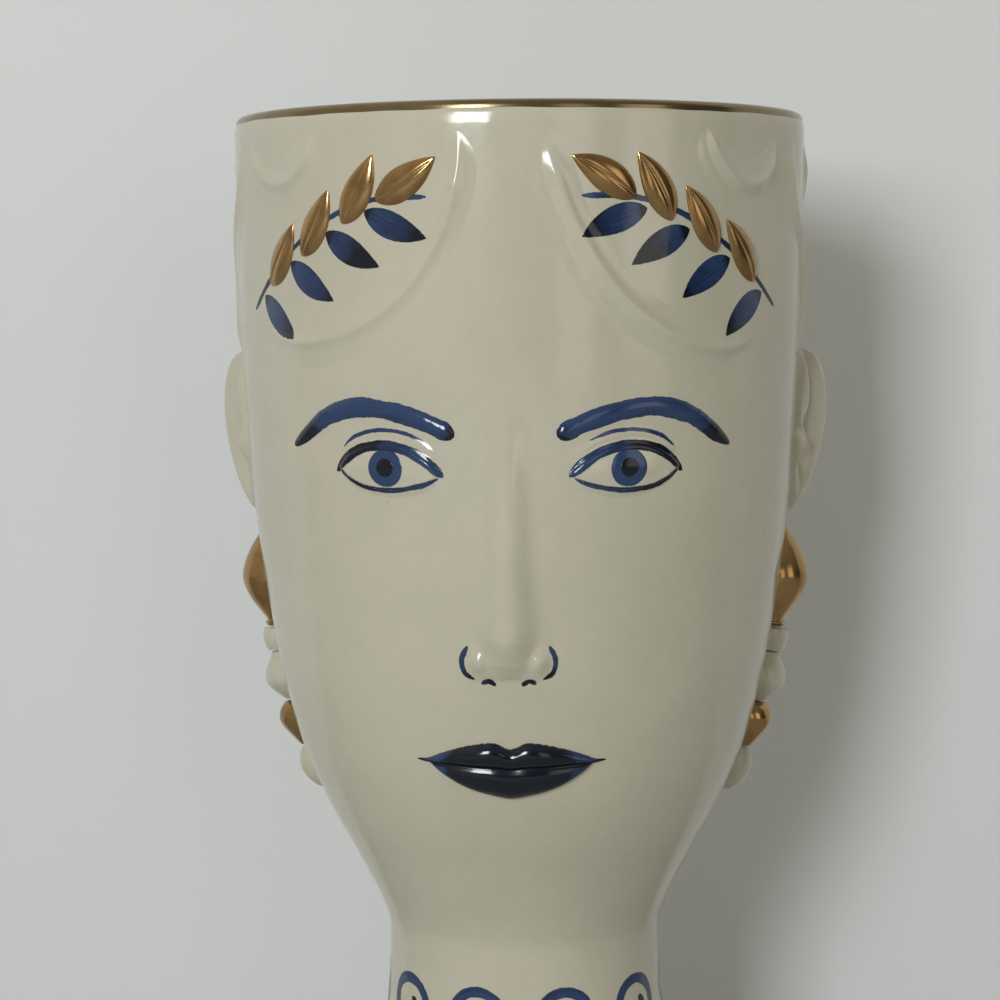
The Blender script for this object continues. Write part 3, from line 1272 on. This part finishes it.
def paint_eyes(wall, film):
    """Lid lines, crease, iris and pupil of each eye."""
    for side, sign in SIDES.items():
        angle = sign * EYE_ANGLE
        shell = Shell()
        add_strokes(shell, wall, film, EYE_STROKES, angle, EYE_HEIGHT, sign)
        iris, pupil = wall.line(angle, EYE_HEIGHT, [(0.0, 0.55), (0.0, 0.7)])
        add_spot(shell, wall, film * 1.1, iris, 4.5 * MM, 0.18, cut=0.1 * MM)
        add_spot(shell, wall, film * 0.8, pupil, 2.2 * MM, 1.0, base=film * 1.1, margin=0.4)
        shell.piece(f"eye_brushwork_{side}", "cobalt_glaze")


def paint_nose_and_mouth(wall, film):
    """Small strokes at the wings and under the nose, and the dark line between the lips."""
    shell = Shell()
    for sign in (-1, 1):
        add_strokes(shell, wall, film, NOSE_STROKES, 0.0, NOSE_BASE, sign)
    shell.piece("nose_brushwork", "cobalt_glaze")

    shell = Shell()
    places = [(across, float(mouth_line(across * MM)) / MM) for across in np.linspace(-22.5, 22.5, 13)]
    route = wall.line(0.0, MOUTH_HEIGHT, places)
    add_stroke(shell, wall, film, route, 0.6 * MM, 61, (6 * MM, 6 * MM), (0.95, 0.95), margin=0.4)
    shell.piece("mouth_brushwork", "cobalt_glaze")


def paint_sprigs(wall, film, sizes):
    """The stem and the lower row of leaves of each sprig, lying over the locks that they cross."""
    locks = {name: lock_form(wall, sizes, places, seed) for name, places, seed in lock_places()}
    for side, sign in SIDES.items():
        wall.reliefs = [locks[f"{name}_{side}"] for name in ("parting_lock", "crown_lock", "temple_lock")]
        shell = Shell()
        stem = [(angle * sign, NECK_HEIGHT + HEAD_HEIGHT * climb) for angle, climb in SPRIG_STEM_SHARES]
        add_stroke(shell, wall, film, stem, 0.8 * MM, 71 + sign, (4 * MM, 4 * MM), (0.7, 0.35))
        for number, (angle, climb, lean) in enumerate(SPRIG_LEAF_SHARES):
            height = NECK_HEIGHT + HEAD_HEIGHT * climb
            route = leaf_route(wall, angle * sign, height, lean * sign, 17 * MM)
            band = band_grid(wall, route, leaf_width(3.3 * MM), 0.45 * MM, 17)
            share = band[2] / band[2][-1]
            wash = 0.3 + 0.42 * share + 0.08 * np.sin(number * 2.0) + 0.5 * smooth(0.2, 0.0, share)
            add_film(shell, wall, film, band, wash)
        shell.piece(f"sprig_brushwork_{side}", "cobalt_glaze")


def paint_neck_scroll(wall, film):
    """A running scroll round the neck over a base line, which is painted in two strokes."""
    repeats, middle, base = 10, 72.5 * MM, 52 * MM
    curl = [(-15.0, -9.6), (-11.0, -11.4), (-5.5, -10.2)]
    for share in np.linspace(0, 1, 22):
        turn, reach = math.radians(500 * share - 90), 8.6 - 6.0 * share
        curl.append((reach * math.cos(turn), reach * math.sin(turn)))
    shell = Shell()
    for number in range(repeats):
        route = wall.line(number * 360 / repeats - 90, middle, curl)
        add_stroke(shell, wall, film, route, 1.45 * MM, 80 + number, (5 * MM, 3 * MM), (0.12, 0.62))
    for number, (start, end) in enumerate(((-185, 5), (-5, 185))):
        route = [(angle, base) for angle in np.linspace(start, end, 27)]
        add_stroke(shell, wall, film * (1 + 0.3 * number), route, 0.9 * MM, 95 + number, (2 * MM, 2 * MM),
                   (0.4, 0.6))
    shell.piece("neck_scroll_brushwork", "cobalt_glaze")


def link(name, data):
    """A new object in the scene."""
    made = bpy.data.objects.new(name, data)
    bpy.context.scene.collection.objects.link(made)
    return made


def around(azimuth, elevation, distance, height):
    """A place at an azimuth and elevation from a point on the vase's axis."""
    a, e = math.radians(azimuth), math.radians(elevation)
    return (distance * math.sin(a) * math.cos(e), -distance * math.cos(a) * math.cos(e),
            height + distance * math.sin(e))


def area_lamp(name, place, aim, size, power, colour):
    """A soft rectangular lamp that points at a place."""
    lamp = bpy.data.lights.new(name, "AREA")
    lamp.shape = "RECTANGLE"
    lamp.size, lamp.size_y = size
    lamp.energy, lamp.color = power, colour
    back = np.subtract(place, aim)
    back = back / np.linalg.norm(back)
    aside = np.cross((0, 0, 1), back)
    aside = aside / np.linalg.norm(aside)
    rows = np.eye(4)
    rows[:3] = np.column_stack([aside, np.cross(back, aside), back, place])
    link(name, lamp).matrix_world = Matrix(rows.tolist())


def stage_sheet(name, corners, material):
    """A flat sheet of paper that belongs to the stage."""
    mesh = bpy.data.meshes.new(name)
    mesh.from_pydata(corners, [], [(0, 1, 2, 3)])
    mesh.materials.append(material)
    sheet = link(name, mesh)


def stage_material(name, colour, one_sided):
    """Pale matte paper with a faint tooth. One-sided paper isn't seen from behind."""
    material, tree = new_material(name)
    place = tree.add("ShaderNodeTexCoord", output="Object")
    tooth = tree.noise(place, 700.0, 2.0, 0.6)
    tint = tree.mix(tooth * 0.08, tuple(colour), tuple(0.9 * c for c in colour))
    shader = tree.add("ShaderNodeBsdfPrincipled", {}, {
        "Base Color": tint, "Roughness": 0.9, "Specular IOR Level": 0.1,
        "Normal": tree.bump(tooth, 0.15, GRAIN_DEPTH)})
    if one_sided:
        back = tree.add("ShaderNodeNewGeometry", output="Backfacing")
        clear = tree.add("ShaderNodeBsdfTransparent")
        shader = tree.add("ShaderNodeMixShader", {}, [back, shader, clear])
    tree.add("ShaderNodeOutputMaterial", {}, [shader])
    return material


def build_world(colours):
    """Soft light from all round, with tall pale windows at the front right that the glaze mirrors."""
    world = bpy.data.worlds.new("soft_room")
    bpy.context.scene.world = world
    tree = Tree(world)
    x, y, z = tree.parts(tree.add("ShaderNodeTexCoord", output="Generated"))
    flat = (x * x + y * y + 0.0001) ** 0.5
    light = 0.07 + tree.ramp(x * -1.0, -0.4, 1.0) * 0.32 + tree.ramp(z, 0.1, 0.9) * 0.2
    tall = tree.ramp(z, -0.45, -0.25) * (1 - tree.ramp(z, 0.3, 0.5))
    windows = ((24.6, 6.0, 1.1), (54.0, 9.0, 1.1))
    for azimuth, half_width, brightness in windows:
        turn, edge = math.radians(azimuth), math.cos(math.radians(half_width))
        facing = (x * math.sin(turn) - y * math.cos(turn)) / flat
        light = light + tree.ramp(facing, edge - 0.006, edge + 0.002) * tall * brightness
    tint = tree.add("ShaderNodeCombineXYZ", {}, [light * 1.06, light * 0.98, light * 0.83])
    room = tree.add("ShaderNodeBackground", {}, {"Color": tint})
    plain = tree.add("ShaderNodeBackground", {}, {"Color": tuple(colours.backdrop)})
    seen = tree.add("ShaderNodeLightPath", output="Is Camera Ray")
    mixed = tree.add("ShaderNodeMixShader", {}, [seen, room, plain])
    tree.add("ShaderNodeOutputWorld", {}, [mixed])


def build_camera():
    """The camera at the viewing angle of the photograph."""
    azimuth, distance, height, focal_length = 3.0, 0.600, 0.2515, 86.6
    yaw, pitch, roll = 0.52, -5.34, -0.44
    lens = bpy.data.cameras.new("camera")
    lens.sensor_width, lens.lens = 36.0, focal_length
    camera = link("camera", lens)
    matrix = Matrix.Translation(around(azimuth, 0, distance, height))
    for angle, axis in ((azimuth + yaw, "Z"), (90 + pitch, "X"), (roll, "Z")):
        matrix = matrix @ Matrix.Rotation(math.radians(angle), 4, axis)
    camera.matrix_world = matrix
    bpy.context.scene.camera = camera


def build_stage(colours):
    """Floor, backdrop, lamp, world and camera."""
    reach, half_width, depth, sunk, top, lamp_aim = 1.5, 1.2, 0.118, -0.001, 1.4, 0.2
    floor = [(-reach, -reach, 0), (reach, -reach, 0), (reach, reach, 0), (-reach, reach, 0)]
    backdrop = [(-half_width, depth, sunk), (half_width, depth, sunk), (half_width, depth, top),
                (-half_width, depth, top)]
    stage_sheet("floor", floor, stage_material("floor_paper", colours.ground, False))
    stage_sheet("backdrop", backdrop, stage_material("backdrop_paper", colours.paper, True))
    area_lamp("key_lamp", around(azimuth=-16, elevation=15, distance=1.6, height=lamp_aim), (0, 0, lamp_aim),
              size=(0.36, 0.5), power=12.3, colour=(0.98, 1.0, 1.01))
    build_world(colours)
    build_camera()
    bpy.context.scene.view_settings.view_transform = "Standard"


class FACEVASE_OT_body(bpy.types.Operator):
    """Turn the head cup, the pedestal, the gold lip and the foot ring"""

    bl_idname = "facevase.body"
    bl_label = "Body"

    def execute(self, context):
        build_body(context.scene.face_vase_sizes)
        return {"FINISHED"}


class FACEVASE_OT_face(bpy.types.Operator):
    """Model the eyes, brows, nose and lips"""

    bl_idname = "facevase.face"
    bl_label = "Face"

    def execute(self, context):
        build_face(context.scene.face_vase_sizes)
        return {"FINISHED"}


class FACEVASE_OT_ears(bpy.types.Operator):
    """Model the ears"""

    bl_idname = "facevase.ears"
    bl_label = "Ears"

    def execute(self, context):
        build_ears(context.scene.face_vase_sizes)
        return {"FINISHED"}


class FACEVASE_OT_earrings(bpy.types.Operator):
    """Turn the beads of the earrings"""

    bl_idname = "facevase.earrings"
    bl_label = "Earrings"

    def execute(self, context):
        build_earrings(context.scene.face_vase_sizes)
        return {"FINISHED"}


class FACEVASE_OT_hair(bpy.types.Operator):
    """Model the locks of hair"""

    bl_idname = "facevase.hair"
    bl_label = "Hair"

    def execute(self, context):
        build_hair(context.scene.face_vase_sizes)
        return {"FINISHED"}


class FACEVASE_OT_leaves(bpy.types.Operator):
    """Model the gold leaves"""

    bl_idname = "facevase.leaves"
    bl_label = "Gold leaves"

    def execute(self, context):
        build_leaves(context.scene.face_vase_sizes)
        return {"FINISHED"}


class FACEVASE_OT_brushwork(bpy.types.Operator):
    """Paint the cobalt brushwork"""

    bl_idname = "facevase.brushwork"
    bl_label = "Brushwork"

    def execute(self, context):
        sizes = context.scene.face_vase_sizes
        wall = the_wall(sizes)
        paint_eyes(wall, sizes.film)
        paint_nose_and_mouth(wall, sizes.film)
        paint_neck_scroll(wall, sizes.film)
        paint_sprigs(wall, sizes.film, sizes)
        return {"FINISHED"}


class FACEVASE_OT_stage(bpy.types.Operator):
    """Set up the floor, the backdrop, the light and the camera"""

    bl_idname = "facevase.stage"
    bl_label = "Stage"

    def execute(self, context):
        build_stage(context.scene.face_vase_colours)
        return {"FINISHED"}


STEPS = (FACEVASE_OT_body, FACEVASE_OT_face, FACEVASE_OT_ears, FACEVASE_OT_earrings, FACEVASE_OT_hair,
         FACEVASE_OT_leaves, FACEVASE_OT_brushwork, FACEVASE_OT_stage)


class FACEVASE_PT_panel(bpy.types.Panel):
    """The steps, sizes and colours of the vase"""

    bl_label = "Face Vase"
    bl_idname = "FACEVASE_PT_panel"
    bl_space_type = "VIEW_3D"
    bl_region_type = "UI"
    bl_category = "Face Vase"

    def draw(self, context):
        layout = self.layout
        for step in STEPS:
            layout.operator(step.bl_idname)
        for group in (context.scene.face_vase_sizes, context.scene.face_vase_colours):
            box = layout.box()
            for name in group.__annotations__:
                box.prop(group, name)


CLASSES = (FaceVaseSizes, FaceVaseColours, *STEPS, FACEVASE_PT_panel)


def register():
    """Registers the classes and gives the scene its sizes and colours."""
    for cls in CLASSES:
        bpy.utils.register_class(cls)
    bpy.types.Scene.face_vase_sizes = PointerProperty(type=FaceVaseSizes)
    bpy.types.Scene.face_vase_colours = PointerProperty(type=FaceVaseColours)


def unregister():
    """Takes back what register did."""
    del bpy.types.Scene.face_vase_colours
    del bpy.types.Scene.face_vase_sizes
    for cls in reversed(CLASSES):
        bpy.utils.unregister_class(cls)


def main():
    """Runs every step."""
    register()
    for step in STEPS:
        group, name = step.bl_idname.split(".")
        getattr(getattr(bpy.ops, group), name)()


if __name__ == "__main__":
    main()
